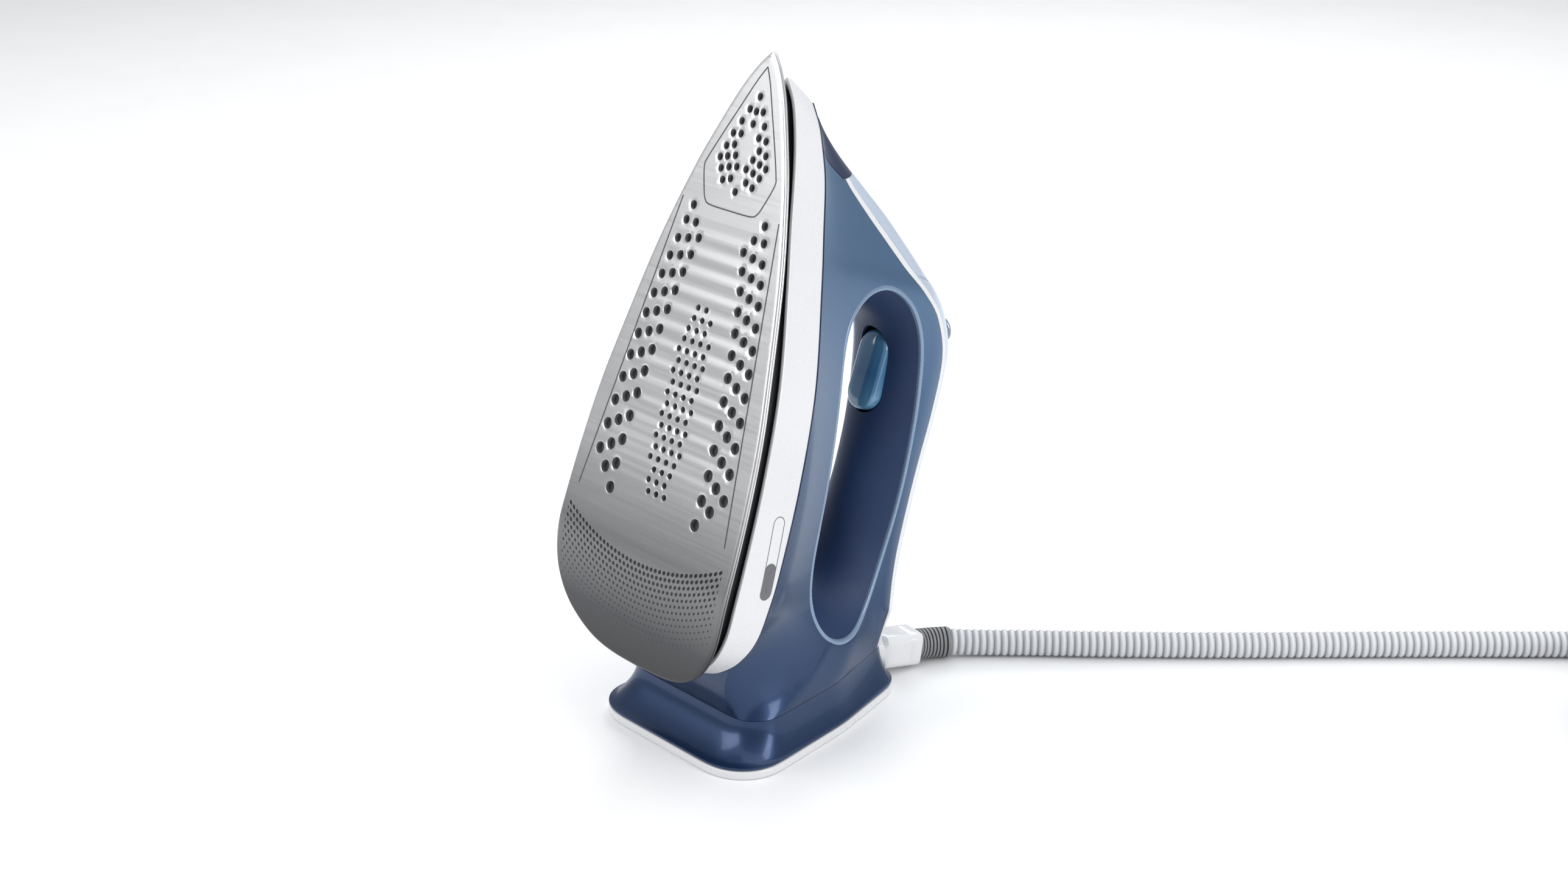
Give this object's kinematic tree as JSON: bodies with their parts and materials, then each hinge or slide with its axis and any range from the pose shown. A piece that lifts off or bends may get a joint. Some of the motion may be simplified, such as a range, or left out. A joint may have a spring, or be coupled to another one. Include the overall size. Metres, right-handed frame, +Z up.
{
  "type": "steam iron",
  "caption": "Steam-station clothes iron standing on its heel, with a vented pointed soleplate, looped handle, steam trigger, round rear button, flared foot and a corrugated hose.",
  "frame": {"origin": "middle of the flat underside of the heel foot, on the floor", "axes": "+Z up; the soleplate faces -Y and leans back; X across the iron, with the mid-plane at X = 0"},
  "size_m": [0.4408, 0.4387, 0.2849],
  "materials": {
    "sole_metal": "satin, ribbed and fading to dark grey at the heel",
    "cast_aluminium": "as cast",
    "element_sheath": "dull",
    "gasket": "matte silicone",
    "steel": "plated",
    "bakelite": "matte",
    "white_insulation": "matte",
    "brass": "turned",
    "black_plastic": "matte",
    "white_plastic": "light gloss",
    "blue_shell": "satin metallic steel blue over plastic",
    "navy_gloss": "gloss",
    "pale_blue": "light gloss",
    "navy_soft": "soft touch",
    "grey_plastic": "matte",
    "blue_clear": "translucent gloss",
    "red_plastic": "matte",
    "board": "lacquered board",
    "silver_blue": "gloss",
    "cable": "matte",
    "silicone": "matte silicone",
    "grey_rubber": "matte",
    "hose_cover": "corrugated"
  },
  "bodies": {
    "iron": {"soleplate": "sole_metal", "steam_chamber": "cast_aluminium", "heating_element": "element_sheath", "chamber_gasket": "gasket", "chamber_cover": "cast_aluminium", "cover_screws": "steel", "thermostat": "bakelite", "thermal_fuse": "white_insulation", "inlet_fitting": "brass", "heat_shield": "black_plastic", "shield_screws": "steel", "skirt": "white_plastic", "main_housing": "blue_shell", "nose_insert": "navy_gloss", "stripe_trim": "white_plastic", "spine_cover": "pale_blue", "grip_shell": "navy_soft", "handle_chassis": "grey_plastic", "trigger_pin": "steel", "trigger_spring": "steel", "trigger_switch": "black_plastic", "control_board": "board", "button_spring": "steel", "button_switch": "black_plastic", "wiring_loom": "cable", "steam_tube": "silicone", "heel_foot": "blue_shell", "base_plate": "white_plastic", "base_screws": "steel", "hose_clamp": "grey_plastic", "clamp_screws": "steel", "hose_boot": "white_plastic", "bend_sleeve": "grey_rubber", "steam_hose": "hose_cover", "hose_coil": "hose_cover", "hose_connector": "grey_plastic"},
    "trigger_body": {"trigger": "blue_clear"},
    "trigger_plunger_body": {"trigger_plunger": "red_plastic"},
    "button_body": {"button": "silver_blue"},
    "button_plunger_body": {"button_plunger": "white_insulation"}
  },
  "joints": [
    {"name": "trigger_press", "type": "hinge", "parent": "iron", "child": "trigger_body", "pos_m": [0, 0.07232, 0.14911], "axis": [1, 0, 0], "range_deg": [0, 7], "stiffness_Nm_per_rad": 0.3, "springref_deg": -17.19, "deforming": ["trigger_spring"]},
    {"name": "trigger_plunger_slide", "type": "slide", "parent": "iron", "child": "trigger_plunger_body", "axis": [0, 0.9373, -0.3486], "range_m": [0, 0.00125]},
    {"name": "button_press", "type": "slide", "parent": "iron", "child": "button_body", "axis": [0, -0.9968, -0.0802], "range_m": [0, 0.002], "stiffness_N_per_m": 400, "springref_m": -0.002, "deforming": ["button_spring"]},
    {"name": "button_plunger_slide", "type": "slide", "parent": "iron", "child": "button_plunger_body", "axis": [0, -0.9968, -0.0802], "range_m": [0, 0.002]}
  ],
  "couplings": [
    {"joint": "trigger_plunger_slide", "follows": "trigger_press", "m_per_rad": 0.01},
    {"joint": "button_plunger_slide", "follows": "button_press", "ratio": 1}
  ]
}
